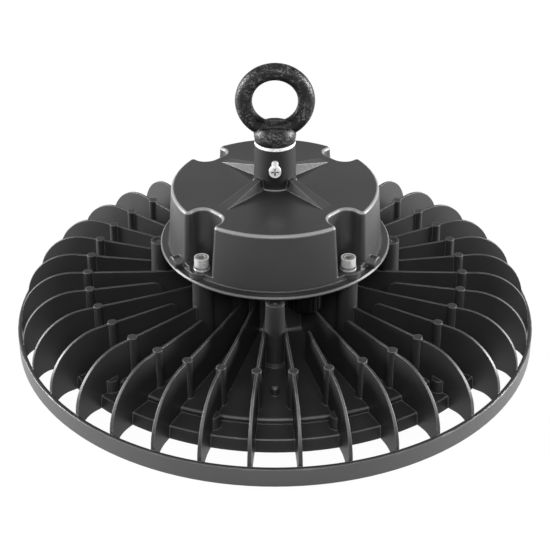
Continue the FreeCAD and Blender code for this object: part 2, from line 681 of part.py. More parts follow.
def driver_base():
    """The housing's floor, on pillars and posts. It carries the gland, the breather and the driver."""
    body = new_body("driver_base")
    turned(body, "floor", [
        To(s.base_hole / 2, s.seat_height),
        To(s.flange_radius - s.flange_bevel, s.seat_height),
        To(s.flange_radius, s.seat_height + s.flange_bevel),
        To(s.flange_radius, BASE_TOP - s.flange_bevel),
        To(s.flange_radius - s.flange_bevel, BASE_TOP),
        To(s.base_hole / 2, BASE_TOP),
    ])
    lip = new_sketch(body, "lip_line", height=BASE_TOP, turn=45)
    draw(lip, inner_wall_line(-s.washer_play))
    draw(lip, inner_wall_line(-s.washer_play - s.lip_wall))
    pad(body, lip, "locating_lip", s.lip_height)
    seal = new_sketch(body, "seal_line", height=BASE_TOP, turn=45)
    draw(seal, inner_wall_line(s.seal_offset + s.seal_width / 2))
    draw(seal, inner_wall_line(s.seal_offset - s.seal_width / 2))
    pocket(body, seal, "seal_groove", s.seal_depth)
    x, y = polar(s.pillar_circle, 45)
    hole = cylinder(body, "screw_hole", s.main_clearance / 2, s.flange_thickness, x, y, s.seat_height,
                    cut=True)
    around(body, "screw_holes", [hole], 4)
    x, y = polar(s.standoff_circle, 45)
    standoff = cylinder(body, "standoff", s.standoff_width / 2, DRIVER_FOOT - BASE_TOP + s.overlap,
                        x, y, BASE_TOP - s.overlap)
    around(body, "standoffs", [standoff], 4)
    tap = cylinder(body, "standoff_tap", s.small_thread / 2, s.small_screw_length, x, y,
                   DRIVER_FOOT - s.small_screw_length, cut=True)
    around(body, "standoff_taps", [tap], 4)
    for name, (x, y), thread in (("gland_hole", GLAND, s.gland_thread), ("vent_hole", VENT, s.vent_thread)):
        cylinder(body, name, thread / 2 + s.thread_play, s.flange_thickness, x, y, s.seat_height, cut=True)
        nut_corner = (thread + s.locknut_extra) / math.sqrt(3)
        cylinder(body, name + "_spotface", nut_corner + s.spotface_play, s.lip_height, x, y, BASE_TOP,
                 cut=True)


def cover_gasket():
    body = new_body("cover_gasket")
    drawing = new_sketch(body, "seal_line", height=BASE_TOP - s.seal_depth, turn=45)
    draw(drawing, inner_wall_line(s.seal_offset + s.seal_width / 2))
    draw(drawing, inner_wall_line(s.seal_offset - s.seal_width / 2))
    pad(body, drawing, "gasket", s.seal_depth)


def edge_names(feature, wanted):
    """The names of a feature's edges that pass a test on their own box."""
    return [f"Edge{i}" for i, edge in enumerate(feature.Shape.Edges, start=1) if wanted(edge)]


def fillet(body, name, base, edges, radius):
    feature = body.newObject("PartDesign::Fillet", name)
    feature.Base = (base, edges)
    bind(feature, "Radius", radius)
    return feature


def edge_radius(edge):
    """How far an edge's middle lies from the light's axis."""
    middle = edge.valueAt((edge.FirstParameter + edge.LastParameter) / 2)
    return math.hypot(middle.x, middle.y)


def cover_shell(body):
    """The drum with its screw pads and notches, and the rounding along its mouth edges and its rim."""
    turned(body, "drum", [
        To(0, BASE_TOP),
        To(s.cover_foot, BASE_TOP),
        To(s.cover_foot, BASE_TOP + s.cover_foot_height),
        To(s.cover_radius, BASE_TOP + s.cover_foot_height),
        To(s.cover_rim_radius, s.cover_rim_height),
        To(s.hang_radius, CROWN),
        To(0, CROWN),
    ])
    x, y = polar(s.pillar_circle, 45)
    screw_pad = cone(body, "screw_pad", s.pad_width / 2, s.pad_width / 2 - s.pad_taper,
                      PAD_TOP - BASE_TOP, x, y, BASE_TOP)
    around(body, "screw_pads", [screw_pad], 4)
    drawing = new_sketch(body, "notch_outline", height=PAD_TOP, turn=45)
    half, corner, beyond = s.notch_width / 2, s.notch_corner, s.flange_radius + s.past
    draw(drawing, [
        To(beyond, -half),
        To(beyond, half),
        To(s.notch_depth + corner, half),
        To(s.notch_depth, half - corner, corner, "left"),
        To(s.notch_depth, corner - half),
        To(s.notch_depth + corner, -half, corner, "left"),
    ])
    notch = pocket(body, drawing, "notch", CROWN - PAD_TOP + s.overlap, s.notch_draft,
                   upward=True)
    notches = around(body, "notches", [notch], 4)
    doc.recompute()
    wall_height = s.cover_rim_height.value - PAD_TOP.value
    mouths = edge_names(notches, lambda edge: edge.BoundBox.ZLength > wall_height * 0.9
                        and edge_radius(edge) > s.cover_rim_radius.value - 3)
    rounded = fillet(body, "mouth_rounding", notches, mouths, s.mouth_round)
    doc.recompute()
    rim = edge_names(rounded, lambda edge: edge.BoundBox.ZMin > s.cover_rim_height.value - 0.5
                     and edge_radius(edge) > s.notch_depth.value - 2)
    fillet(body, "rim_rounding", rounded, rim, s.rim_round)


def cover_gussets(body):
    """Four drafted gussets stiffen the hanging post along the diagonals."""
    foot = CROWN - s.gusset_root
    half_top, half_foot = s.gusset_top_width / 2, s.gusset_foot_width / 2
    gusset = body.newObject("PartDesign::AdditiveWedge", "gusset")
    attach(gusset, body, "XZ_Plane", turn=45)
    rise = (GUSSET_TOP - foot) / (GUSSET_TOP - CROWN + s.gusset_set_in)
    reach = s.hang_radius + (s.gusset_reach - s.hang_radius) * rise
    for path, size in (
        ("Xmin", 0), ("Xmax", reach), ("X2min", 0), ("X2max", s.hang_radius + s.gusset_on_post),
        ("Ymin", foot), ("Ymax", GUSSET_TOP),
        ("Zmin", -half_foot), ("Zmax", half_foot), ("Z2min", -half_top), ("Z2max", half_top),
    ):
        bind(gusset, path, size)
    gussets = around(body, "gussets", [gusset], 4)
    doc.recompute()
    crown, radius = CROWN.value, s.hang_radius.value
    root = edge_names(gussets, lambda edge: crown - TOUCH < edge.BoundBox.ZMin
                      and edge.BoundBox.ZMax < crown + TOUCH
                      and abs(edge_radius(edge) - radius) < TOUCH and edge.Length > radius / 2)
    fillet(body, "post_foot_rounding", gussets, root, s.post_foot_round)


def cover_lugs(body):
    """Half-round lugs on the cover's foot, two in front and two behind."""
    for index, angle in enumerate((FRONT + 90 - s.lug_angle, FRONT - 90 + s.lug_angle,
                                   s.lug_angle, 180 - s.lug_angle)):
        drawing = new_sketch(body, f"lug_outline_{index}", "YZ_Plane", turn=angle)
        draw(drawing, [
            To(-s.lug_radius, BASE_TOP),
            To(s.lug_radius, BASE_TOP),
            To(s.lug_radius, LUG_HEIGHT),
            To(0, LUG_HEIGHT + s.lug_radius, s.lug_radius, "left"),
            To(-s.lug_radius, LUG_HEIGHT, s.lug_radius, "left"),
        ])
        last = pad(body, drawing, f"lug_{index}", s.flange_radius - s.lug_setback)
    doc.recompute()
    ends = edge_names(last, lambda edge: edge.BoundBox.ZMax > BASE_TOP.value + TOUCH
                      and edge_radius(edge) > s.flange_radius.value - s.lug_setback.value - TOUCH
                      and edge.BoundBox.ZMax < LUG_HEIGHT.value + s.lug_radius.value + TOUCH
                      and edge.BoundBox.ZMin > BASE_TOP.value - TOUCH)
    fillet(body, "lug_rounding", last, ends, s.lug_round)


def driver_cover():
    body = new_body("driver_cover")
    cover_shell(body)
    cover_lugs(body)
    drawing = new_sketch(body, "cavity_line", height=BASE_TOP, turn=45)
    draw(drawing, inner_wall_line(0))
    depth = s.cover_rim_height - s.crown_wall - BASE_TOP
    pocket(body, drawing, "cavity", depth, -s.cavity_draft, upward=True)
    cone(body, "hanging_post", s.hang_radius, s.hang_top_radius, HANG_TOP - CROWN,
         z=CROWN)
    cover_gussets(body)
    cylinder(body, "eye_tap", s.eye_thread / 2, s.eye_tap_depth, z=HANG_TOP - s.eye_tap_depth, cut=True)
    cylinder(body, "post_core", s.hang_core / 2, CROWN + s.hang_core_rise - BASE_TOP, z=BASE_TOP, cut=True)
    cylinder(body, "lock_tap", s.lock_thread / 2, s.hang_radius + s.overlap, y=LOCK_HEIGHT, cut=True,
             role="XZ_Plane")
    x, y = polar(s.pillar_circle, 45)
    hole = cylinder(body, "screw_hole", s.main_clearance / 2, PAD_TOP - BASE_TOP, x, y, BASE_TOP,
                    cut=True)
    around(body, "screw_holes", [hole], 4)


# ---------------------------------------------------------------- fasteners and hanging eye

def cover_screws():
    body = new_body("cover_screws", pieces=4)
    x, y = polar(s.pillar_circle, 45)
    head = cylinder(body, "head", s.main_head / 2, s.main_head_height, x, y, SPRING_TOP)
    shank = cylinder(body, "shank", (s.main_thread - s.thread_play) / 2, s.main_length, x, y,
                     SPRING_TOP - s.main_length)
    around(body, "screws", [head, shank], 4)
    socket_depth = s.main_head_height / 2
    socket = hexagon(body, "socket", s.main_socket, socket_depth, x, y,
                     SPRING_TOP + s.main_head_height - socket_depth, cut=True)
    around(body, "sockets", [socket], 4)


def washers(name, width, thickness, foot, split=False):
    body = new_body(name, pieces=4)
    x, y = polar(s.pillar_circle, 45)
    ring = cylinder(body, "disc", width / 2, thickness, x, y, foot)
    around(body, "discs", [ring], 4)
    hole = cylinder(body, "hole", (s.main_thread + s.washer_play) / 2, thickness, x, y, foot, cut=True)
    around(body, "holes", [hole], 4)
    if split:
        drawing = new_sketch(body, "split_line", height=foot, turn=45)
        half = s.spring_split / 2
        draw_box(drawing, s.pillar_circle, s.pillar_circle + width, -half, half)
        gap = pocket(body, drawing, "split", thickness, upward=True)
        around(body, "splits", [gap], 4)


def eye_washer():
    body = new_body("eye_washer")
    hole = s.eye_thread / 2 + s.thread_play
    turned(body, "washer", [
        To(hole, HANG_TOP), To(s.eye_washer_radius, HANG_TOP),
        To(s.eye_washer_radius, WASHER_TOP), To(hole, WASHER_TOP),
    ])


def eye_bolt():
    """Forged ring, barrel-shaped collar and threaded shank in one piece."""
    body = new_body("eye_bolt")
    middle = WASHER_TOP + s.collar_middle
    shank = (s.eye_thread - s.thread_play) / 2
    turned(body, "collar", [
        To(0, WASHER_TOP - s.eye_length),
        To(shank - s.eye_tip, WASHER_TOP - s.eye_length),
        To(shank, WASHER_TOP - s.eye_length + s.eye_tip),
        To(shank, WASHER_TOP),
        To(s.collar_radius, WASHER_TOP),
        To(s.collar_belly, middle, s.collar_lower_curve, "left"),
        To(s.collar_shoulder, WASHER_TOP + s.collar_height, s.collar_upper_curve, "left"),
        To(0, WASHER_TOP + s.collar_height),
    ])
    ring = body.newObject("PartDesign::AdditiveTorus", "eye")
    attach(ring, body, "XZ_Plane", y=EYE_HEIGHT)
    bind(ring, "Radius1", s.eye_loop)
    bind(ring, "Radius2", s.eye_bar)


def lock_screw():
    """Pan head screw with a cross recess, bearing on the eye bolt's shank."""
    body = new_body("lock_screw")
    tip = s.eye_thread / 2
    cylinder(body, "shank", (s.lock_thread - s.thread_play) / 2, s.lock_reach - tip, y=LOCK_HEIGHT, z=tip,
             role="XZ_Plane")
    cylinder(body, "head", s.lock_head / 2, s.lock_head_height, y=LOCK_HEIGHT, z=s.lock_reach,
             role="XZ_Plane")
    face = s.lock_reach + s.lock_head_height
    half, arm = s.cross_half_width, s.cross_reach
    for name, wide, tall in (("slot_across", arm, half), ("slot_upright", half, arm)):
        drawing = new_sketch(body, name + "_line", "XZ_Plane", height=face)
        draw_box(drawing, -wide, wide, LOCK_HEIGHT - tall, LOCK_HEIGHT + tall)
        pocket(body, drawing, name, s.lock_head_height / 2)


# ---------------------------------------------------------------- cable gland and breather

def sealing_ring(name, place, thread):
    body = new_body(name)
    x, y = place
    cylinder(body, "disc", thread / 2 + s.ring_overlap, s.ring_thickness, x, y, RING_UNDER)
    cylinder(body, "hole", thread / 2 + s.thread_play, s.ring_thickness, x, y, RING_UNDER, cut=True)


def locknut(name, place, angle, thread):
    """A hexagon nut with a flat towards the cover's wall."""
    body = new_body(name)
    x, y = place
    hexagon(body, "hexagon", thread + s.locknut_extra, s.locknut_height, x, y, BASE_TOP,
            angle - TO_FLAT)
    cylinder(body, "bore", thread / 2 + s.thread_play / 2, s.locknut_height, x, y, BASE_TOP, cut=True)


GLAND_FLANGE_FOOT = RING_UNDER - s.gland_flange
GLAND_NUT_FOOT = GLAND_FLANGE_FOOT - s.gland_nut_height
GLAND_DOME_FOOT = GLAND_NUT_FOOT - s.gland_dome_height
GLAND_SEAL_FOOT = GLAND_DOME_FOOT - s.gland_lip
GLAND_NECK = s.gland_nut_width / 2 - s.gland_nut_wall


def gland_body():
    body = new_body("gland_body")
    x, y = GLAND
    hexagon(body, "flange", s.gland_hex, s.gland_flange, x, y, GLAND_FLANGE_FOOT, s.gland_angle - TO_FLAT)
    cylinder(body, "thread", s.gland_thread / 2, s.ring_thickness + s.flange_thickness + s.thread_length,
             x, y, RING_UNDER)
    cylinder(body, "neck", GLAND_NECK, s.gland_nut_height, x, y, GLAND_NUT_FOOT)
    cylinder(body, "bore", s.gland_bore / 2 + s.seal_play, s.seat_height, x, y, GLAND_NUT_FOOT, cut=True)


def gland_nut():
    """The low nut with its grooved grip, tapered below where the cable leaves."""
    body = new_body("gland_nut")
    x, y = GLAND
    cylinder(body, "grip", s.gland_nut_width / 2, s.gland_nut_height, x, y, GLAND_NUT_FOOT)
    cone(body, "dome", s.gland_dome_width / 2, s.gland_nut_width / 2, s.gland_dome_height, x, y,
         GLAND_DOME_FOOT)
    cylinder(body, "thread", GLAND_NECK + s.thread_play / 2, s.gland_nut_height, x, y, GLAND_NUT_FOOT,
             cut=True)
    cylinder(body, "bore", s.gland_bore / 2 + s.seal_play, s.gland_dome_height, x, y, GLAND_DOME_FOOT,
             cut=True)
    drawing = new_sketch(body, "groove_line", height=GLAND_NUT_FOOT + s.gland_groove_depth, x=x, y=y)
    half, outside = s.gland_groove_width / 2, s.gland_nut_width / 2
    draw_box(drawing, outside - s.gland_groove_depth, outside + s.overlap, -half, half)
    groove = pocket(body, drawing, "groove", s.gland_nut_height, upward=True)
    around(body, "grip_grooves", [groove], s.gland_grooves, (drawing, ["N_Axis"]))


def gland_seal():
    body = new_body("gland_seal")
    x, y = GLAND
    length = RING_UNDER - GLAND_SEAL_FOOT
    cylinder(body, "sleeve", s.gland_bore / 2, length, x, y, GLAND_SEAL_FOOT)
    cylinder(body, "cable_bore", s.cable_bore / 2, length, x, y, GLAND_SEAL_FOOT, cut=True)


def vent_plug():
    body = new_body("vent_plug")
    x, y = VENT
    flange_foot = RING_UNDER - s.vent_flange
    cylinder(body, "flange", s.vent_flange_width / 2, s.vent_flange, x, y, flange_foot)
    cylinder(body, "thread", s.vent_thread / 2, s.ring_thickness + s.flange_thickness + s.thread_length,
             x, y, RING_UNDER)
    cone(body, "cap", s.vent_cap_width / 2 - s.vent_cap_taper, s.vent_cap_width / 2, s.vent_cap_height, x, y,
         flange_foot - s.vent_cap_height)
    half, reach = s.vent_slot / 2, s.vent_cap_width
    drawing = new_sketch(body, "slot_line", height=flange_foot - s.vent_slot * 1.5)
    draw_box(drawing, x - reach, x + reach, y - half, y + half)
    pocket(body, drawing, "breathing_slot", s.vent_slot)


# ---------------------------------------------------------------- driver

def driver_board():
    body = new_body("driver_board")
    drawing = new_sketch(body, "board_outline", height=DRIVER_FOOT)
    draw_circle(drawing, s.driver_radius)
    pad(body, drawing, "board", s.driver_thickness)
    x, y = polar(s.standoff_circle, 45)
    hole = cylinder(body, "screw_hole", s.small_thread / 2 + s.thread_play, s.driver_thickness, x, y,
                    DRIVER_FOOT, cut=True)
    around(body, "screw_holes", [hole], 4)


def driver_screws():
    body = new_body("driver_screws", pieces=4)
    x, y = polar(s.standoff_circle, 45)
    around(body, "screws", small_screw(body, "screw", x, y, DRIVER_TOP, True), 4)


def transformer():
    """The core's two yokes, centre leg and outer legs in one frame, and the winding round the centre leg."""
    core = new_body("transformer_core")
    half_width, top = s.core_width / 2, DRIVER_TOP + s.core_height
    window_foot, window_top = DRIVER_TOP + s.core_yoke, DRIVER_TOP + s.core_height - s.core_yoke
    leg, side = s.core_leg / 2, s.core_width / 2 - s.core_yoke
    drawing = new_sketch(core, "core_line", "XZ_Plane")
    draw_box(drawing, -half_width, half_width, DRIVER_TOP, top)
    draw_box(drawing, leg, side, window_foot, window_top)
    draw_box(drawing, -side, -leg, window_foot, window_top)
    pad(core, drawing, "core", s.core_depth, both_sides=True)
    winding = new_body("transformer_winding")
    drawing = new_sketch(winding, "winding_line", height=window_foot)
    play = s.lead_play
    half_depth = s.core_depth / 2
    draw_box(drawing, play - side, side - play, -half_depth - s.winding_side, half_depth + s.winding_side)
    draw_box(drawing, -leg - play, leg + play, -half_depth - play, half_depth + play)
    pad(winding, drawing, "winding", window_top - window_foot)


def driver_parts():
    capacitors = new_body("capacitors", pieces=2)
    for name, x in (("left", -1), ("right", 1)):
        cylinder(capacitors, name, s.capacitor_width / 2, s.capacitor_height,
                 x * (s.capacitor_width + s.capacitor_gap) / 2, s.capacitor_row, DRIVER_TOP)
    choke = new_body("choke")
    ring = choke.newObject("PartDesign::AdditiveTorus", "winding")
    attach(ring, choke, "XY_Plane", DRIVER_TOP + s.choke_bar, x=-s.choke_row)
    bind(ring, "Radius1", s.choke_loop)
    bind(ring, "Radius2", s.choke_bar)
    terminal = new_body("terminal_block")
    drawing = new_sketch(terminal, "block_line", height=DRIVER_TOP)
    half = s.terminal_length / 2
    rear = s.terminal_depth / 2 - s.terminal_row
    draw_box(drawing, -half, half, rear - s.terminal_depth, rear)
    pad(terminal, drawing, "block", s.terminal_height)
    for name, x in (("left", -s.terminal_length / 4), ("right", s.terminal_length / 4)):
        cylinder(terminal, f"screw_well_{name}", s.terminal_well / 2, s.terminal_well_depth, x,
                 -s.terminal_row, DRIVER_TOP + s.terminal_height - s.terminal_well_depth, cut=True)


def led_lead():
    body = new_body("led_lead")
    foot = BOARD_UNDER - s.chip_height
    cylinder(body, "lead", s.lead_width / 2, DRIVER_FOOT - foot, z=foot)


def lead_grommet():
    """Seals the lead where it passes from the housing into the hub."""
    body = new_body("lead_grommet")
    bore = s.lead_width / 2 + s.lead_play / 2
    in_hub = (s.hub_bore - s.lead_play) / 2
    in_base = (s.base_hole - s.lead_play) / 2
    turned(body, "sleeve", [
        To(bore, s.hub_top - s.grommet_depth),
        To(in_hub, s.hub_top - s.grommet_depth),
        To(in_hub, s.hub_top),
        To(s.grommet_flange / 2, s.hub_top),
        To(s.grommet_flange / 2, s.seat_height),
        To(in_base, s.seat_height),
        To(in_base, s.seat_height + s.grommet_spigot),
        To(bore, s.seat_height + s.grommet_spigot),
    ])


# ---------------------------------------------------------------- build, check and write

def build():
    heatsink()
    led_board()
    led_chips()
    board_screws()
    lens_plate()
    lens_gasket()
    lens_screws()
    driver_base()
    cover_gasket()
    driver_cover()
    cover_screws()
    washers("flat_washers", s.flat_width, s.flat_thickness, PAD_TOP)
    washers("spring_washers", s.spring_width, s.spring_thickness, PAD_TOP + s.flat_thickness, split=True)
    eye_washer()
    eye_bolt()
    lock_screw()
    gland_body()
    gland_nut()
    gland_seal()
    sealing_ring("gland_ring", GLAND, s.gland_thread)
    locknut("gland_locknut", GLAND, s.gland_angle, s.gland_thread)
    vent_plug()
    sealing_ring("vent_ring", VENT, s.vent_thread)
    locknut("vent_nut", VENT, s.vent_angle, s.vent_thread)
    driver_board()
    driver_screws()
    transformer()
    driver_parts()
    led_lead()
    lead_grommet()
    doc.recompute()


def check():
    """Stops if anything failed to build, or if a cut took nothing away."""
    for thing in doc.Objects:
        if "Invalid" in thing.State or "Error" in thing.State:
            raise RuntimeError(f"{thing.Name} of {thing.Label} failed: {thing.State}")
        before = getattr(thing, "BaseFeature", None)
        cuts = ("Pocket", "Groove", "SubtractiveCylinder", "SubtractivePrism")
        if before is not None and thing.TypeId.split("::")[1] in cuts:
            if thing.Shape.Volume > before.Shape.Volume - 1e-3:
                raise RuntimeError(f"{thing.Label} cuts nothing")


def write():
    os.makedirs("parts", exist_ok=True)
    joined = [body for join in doc.findObjects("PartDesign::Boolean") for body in join.Group]
    for body in doc.findObjects("PartDesign::Body"):
        if body in joined:
            continue
        shape = body.Shape
        if shape.isNull() or not shape.isValid():
            raise RuntimeError(f"{body.Label} is not a valid solid")
        shape.exportStep(f"parts/{body.Label}.step")
        print(f"{body.Label}: {len(shape.Solids)} solids, {shape.Volume / 1000:.2f} cm3")


build()
check()
write()
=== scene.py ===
# %% [markdown]
# # A high bay light
#
# A high bay light hangs from the roof of a hall. Its body is one large aluminium casting: a round plate, thin fins
# that stand on edge around it and an outer ring that ties their ends. A driver housing sits on top, and a forged
# eye bolt carries the whole weight. The CAD model already holds every piece at its real shape, down to the
# washers, so this lesson adds no shapes. It gives every surface its finish and then builds a small studio.

import json

import bpy
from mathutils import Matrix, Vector


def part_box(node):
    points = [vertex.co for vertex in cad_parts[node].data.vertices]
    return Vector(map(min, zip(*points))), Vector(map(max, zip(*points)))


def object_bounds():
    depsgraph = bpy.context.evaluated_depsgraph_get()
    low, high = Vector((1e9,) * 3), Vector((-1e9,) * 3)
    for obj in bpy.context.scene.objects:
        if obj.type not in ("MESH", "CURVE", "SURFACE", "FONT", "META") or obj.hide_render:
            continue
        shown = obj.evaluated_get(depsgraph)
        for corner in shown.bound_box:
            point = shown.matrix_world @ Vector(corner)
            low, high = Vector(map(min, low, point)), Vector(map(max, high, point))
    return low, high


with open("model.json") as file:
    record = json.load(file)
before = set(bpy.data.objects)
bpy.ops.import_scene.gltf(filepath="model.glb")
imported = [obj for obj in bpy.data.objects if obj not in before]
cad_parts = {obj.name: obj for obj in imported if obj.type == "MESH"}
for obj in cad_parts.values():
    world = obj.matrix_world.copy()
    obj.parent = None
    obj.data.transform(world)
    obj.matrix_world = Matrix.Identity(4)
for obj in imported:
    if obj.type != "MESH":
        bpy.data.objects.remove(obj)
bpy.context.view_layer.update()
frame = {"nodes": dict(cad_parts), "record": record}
nodes = frame["nodes"]
low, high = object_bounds()
print("the light is", [round(size * 1000) for size in high - low], "mm")

# %% [markdown]
# ## Writing shader maths as Python
#
# A material is a graph of nodes. Wiring each sum by hand hides what is meant, so a small class wraps the output of
# a node and takes part in ordinary expressions: `1 - mask * 0.5` adds the Math nodes by itself. Only numbers that
# vary over the surface go through it. A number that is the same everywhere is worked out in Python.

# %% The socket wrapper


def both_ways(operation):
    """The plain and the reflected form of an operator, as in `mask - 1` and `1 - mask`."""

    def plain_form(self, other):
        return self.join(operation, self, other)

    def reflected_form(self, other):
        return self.join(operation, other, self)

    return plain_form, reflected_form


class Value:
    """A node's output that can be used in sums like a number."""

    __add__, __radd__ = both_ways("ADD")
    __sub__, __rsub__ = both_ways("SUBTRACT")
    __mul__, __rmul__ = both_ways("MULTIPLY")
    __truediv__, __rtruediv__ = both_ways("DIVIDE")
    __pow__, __rpow__ = both_ways("POWER")

    def __init__(self, graph, socket):
        self.graph = graph
        self.socket = socket

    def __abs__(self):
        return self.join("ABSOLUTE", self)

    def join(self, operation, first, second=None):
        inputs = {0: first} if second is None else {0: first, 1: second}
        return self.graph.add("ShaderNodeMath", {"operation": operation}, inputs)

    def output(self, name):
        """Another output of the same node."""
        return Value(self.graph, self.socket.node.outputs[name])

    def clipped(self):
        """The value held between 0 and 1."""
        return self.join("MAXIMUM", self.join("MINIMUM", self, 1), 0)

    def between(self, start, end):
        """0 at start, 1 at end and beyond, and a soft step in between. The end may be the smaller number."""
        settings = {"interpolation_type": "SMOOTHSTEP"}
        inputs = {"Value": self, "From Min": start, "From Max": end}
        return self.graph.add("ShaderNodeMapRange", settings, inputs)


# %% [markdown]
# ## One way to add a node
#
# Every other node is added by one method as well. It takes the node's type, then its settings, because some of
# them change which sockets the node has, and then the numbers or links of its sockets. The room needs it as well
# as the materials, so it stands in a class that knows only its tree of nodes.

# %% A graph


class Graph:
    """A node tree whose nodes are added one by one."""

    def __init__(self, tree):
        self.tree = tree

    def set(self, node, socket, value):
        """Puts a number or colour into a socket, or links a value to it."""
        target = node.inputs[socket]
        if isinstance(value, Value):
            self.tree.links.new(value.socket, target)
        else:
            target.default_value = value

    def add(self, kind, settings=None, inputs=None, output=0):
        """Adds a node: its settings first, then the values or links of its sockets."""
        node = self.tree.nodes.new(kind)
        for name, value in (settings or {}).items():
            setattr(node, name, value)
        for socket, value in (inputs or {}).items():
            self.set(node, socket, value)
        return Value(self, node.outputs[output])


# %% [markdown]
# ## Materials
#
# A material is a graph with a Principled shader at its end. Noise, colour mixing and bumps are used in nearly
# every finish, so they get a name of their own. Every finish of the light ends alike: a colour, a roughness and
# small bumps.

# %% A paint


class Paint(Graph):
    """A material made of a Principled shader and what feeds it."""

    def __init__(self, name, **shader):
        self.material = bpy.data.materials.new(name)
        self.material.use_nodes = True
        super().__init__(self.material.node_tree)
        self.shader = self.tree.nodes["Principled BSDF"]
        for socket, value in shader.items():
            self.set(self.shader, socket.replace("_", " "), value)

    def noise(self, size, detail=3, roughness=0.5):
        """Soft random spots about `size` metres across."""
        place = self.add("ShaderNodeTexCoord", output="Object")
        inputs = {"Vector": place, "Scale": 1 / size, "Detail": detail, "Roughness": roughness}
        return self.add("ShaderNodeTexNoise", None, inputs)

    def mixed(self, mask, first, second):
        """The first colour where the mask is 0 and the second where it is 1."""
        return self.add("ShaderNodeMix", {"data_type": "RGBA"}, {0: mask, 6: first, 7: second}, 2)

    def finish(self, colour, roughness, height, depth, normal=None):
        """Feeds the shader; the surface stands `depth` metres out where the height value is 1."""
        bumps = {"Height": height, "Distance": depth, "Strength": 1}
        if normal is not None:
            bumps["Normal"] = normal
        self.set(self.shader, "Base Color", colour)
        self.set(self.shader, "Roughness", roughness)
        self.set(self.shader, "Normal", self.add("ShaderNodeBump", None, bumps))
        return self.material


def grey(level, tint=0.0):
    """A grey as a linear colour; a positive tint makes it slightly blue."""
    return (level * (1 - tint), level, level * (1 + tint), 1)


print("a mid grey is", [round(channel, 2) for channel in grey(0.2)])

# %% [markdown]
# ## Lighter edges
#
# On a coated casting the edges stand out: the coat draws back from them and is rubbed thin, and every real edge is
# slightly round, so it catches the light. The finishes paint them lighter, so the light colour there is partly a
# painted highlight and partly the thin coat. They could be painted by hand, but the shape already knows where they
# are. The Bevel node gives the direction that a rounded edge would face. Where this differs from the surface's own
# direction, there is an edge.

# %% Finding edges
TURN = (0.01, 0.25)  # 1 less the cosine of the angle between the two directions


def edge_mask(paint, radius):
    """1 along edges, and 0 more than `radius` metres away from them, with the rounded direction."""
    rounded = paint.add("ShaderNodeBevel", {"samples": 4}, {"Radius": radius})
    straight = paint.add("ShaderNodeNewGeometry", output="Normal")
    alike = paint.add("ShaderNodeVectorMath", {"operation": "DOT_PRODUCT"}, {0: rounded, 1: straight}, "Value")
    return (1 - alike).between(*TURN), rounded


print("the edge mask starts and is full at a turn of", TURN)

# %% [markdown]
# ## Reading sizes from the model
#
# Several finishes change at a certain place: on the outer ring, at the rim of the cover, at the foot of the
# hanging post. These places could be typed in as numbers, but then a change to the model would leave the finishes
# behind. They are read from the meshes instead.

# %% Sizes from the model
MM = 0.001
CROWN_REACH = (18 * MM, 40 * MM)
RIM_START = 50 * MM


def half_width(node):
    """Half of a node's size along X."""
    lowest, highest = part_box(node)
    return (highest.x - lowest.x) / 2


def highest_point(node, nearest, farthest):
    """The top of a node between two distances from the light's axis."""
    points = [vertex.co for vertex in nodes[node].data.vertices]
    return max(point.z for point in points if nearest < point.xy.length < farthest)


ring_radius = half_width("heatsink")
crown_height = highest_point("driver_cover", *CROWN_REACH)
rim_height = highest_point("driver_cover", RIM_START, ring_radius)
for title, size in (("ring radius", ring_radius), ("crown", crown_height), ("rim", rim_height)):
    print(title, round(size / MM, 1), "mm")

# %% [markdown]
# ## Where a coat changes
#
# The black coat is not the same all over. The outer ring, the rim of the cover, the sides of the housing and the
# flanks of the ribs are painted lighter, and the hanging post is painted the darkest and made the dullest. These
# greys are painted
# light and shade: they stand for light that these few lamps don't give, such as the long gleam along a rounded rim,
# so the greys suit this studio and may have to be evened out under other lamps. Each place is a mask, made from
# where a point is or from which way the surface faces there, so it needs no drawn map.

# %% Where a point is and which way it faces
NEARLY_LEVEL = (0.98, 0.9)


def height_and_reach(paint):
    """How high a point is, and how far it stands from the light's axis, in metres."""
    place = paint.add("ShaderNodeTexCoord", output="Object")
    x = paint.add("ShaderNodeSeparateXYZ", None, {"Vector": place}, "X")
    y = x.output("Y")
    return x.output("Z"), (x * x + y * y) ** 0.5


def facing(paint, axis):
    """How far the surface faces along an axis, from -1 to 1."""
    normal = paint.add("ShaderNodeNewGeometry", output="Normal")
    return paint.add("ShaderNodeSeparateXYZ", None, {"Vector": normal}, axis)


def sloping(paint, start, full):
    """1 on slopes that face up, 0 on upright and on level faces."""
    tilt = facing(paint, "Z")
    return tilt.between(start, full) * tilt.between(*NEARLY_LEVEL)


# %% [markdown]
# Each limit below is a pair: where a mask starts, and where it is full. The small step between the two keeps the
# change from looking cut.

# %% Places on the light
HUB_REACH = (115 * MM, 70 * MM)
HUB_SHELTER = 0.65
RING_REACH = (ring_radius - 1.5 * MM, ring_radius - 0.8 * MM)
SIDEWAYS = (0.45, 0.8)
RIM_HEIGHT = (rim_height - 5 * MM, rim_height - 4 * MM)
RIM_SLOPE = (0.15, 0.45)
POST_HEIGHT = (crown_height + 1.5 * MM, crown_height + 3 * MM)
POST_REACH = (15 * MM, 14 * MM)
RIB_HEIGHT = (rim_height, rim_height + 0.5 * MM)
RIB_REACH = (14.5 * MM, 16 * MM)
RIB_SLOPE = (0.9, 0.7)


def near_hub(paint):
    """The inner ends of the fins, deep among them, where the painted edge highlight and the wear are toned down."""
    return height_and_reach(paint)[1].between(*HUB_REACH) * HUB_SHELTER


def outer_ring(paint):
    """The outside of the casting's ring."""
    return height_and_reach(paint)[1].between(*RING_REACH)


def side_walls(paint):
    """The faces of the housing that look left or right, down to its flange."""
    return abs(facing(paint, "X")).between(*SIDEWAYS)


def rim_band(paint):
    """The rounded band where the cover's walls turn into its top."""
    return height_and_reach(paint)[0].between(*RIM_HEIGHT) * sloping(paint, *RIM_SLOPE)


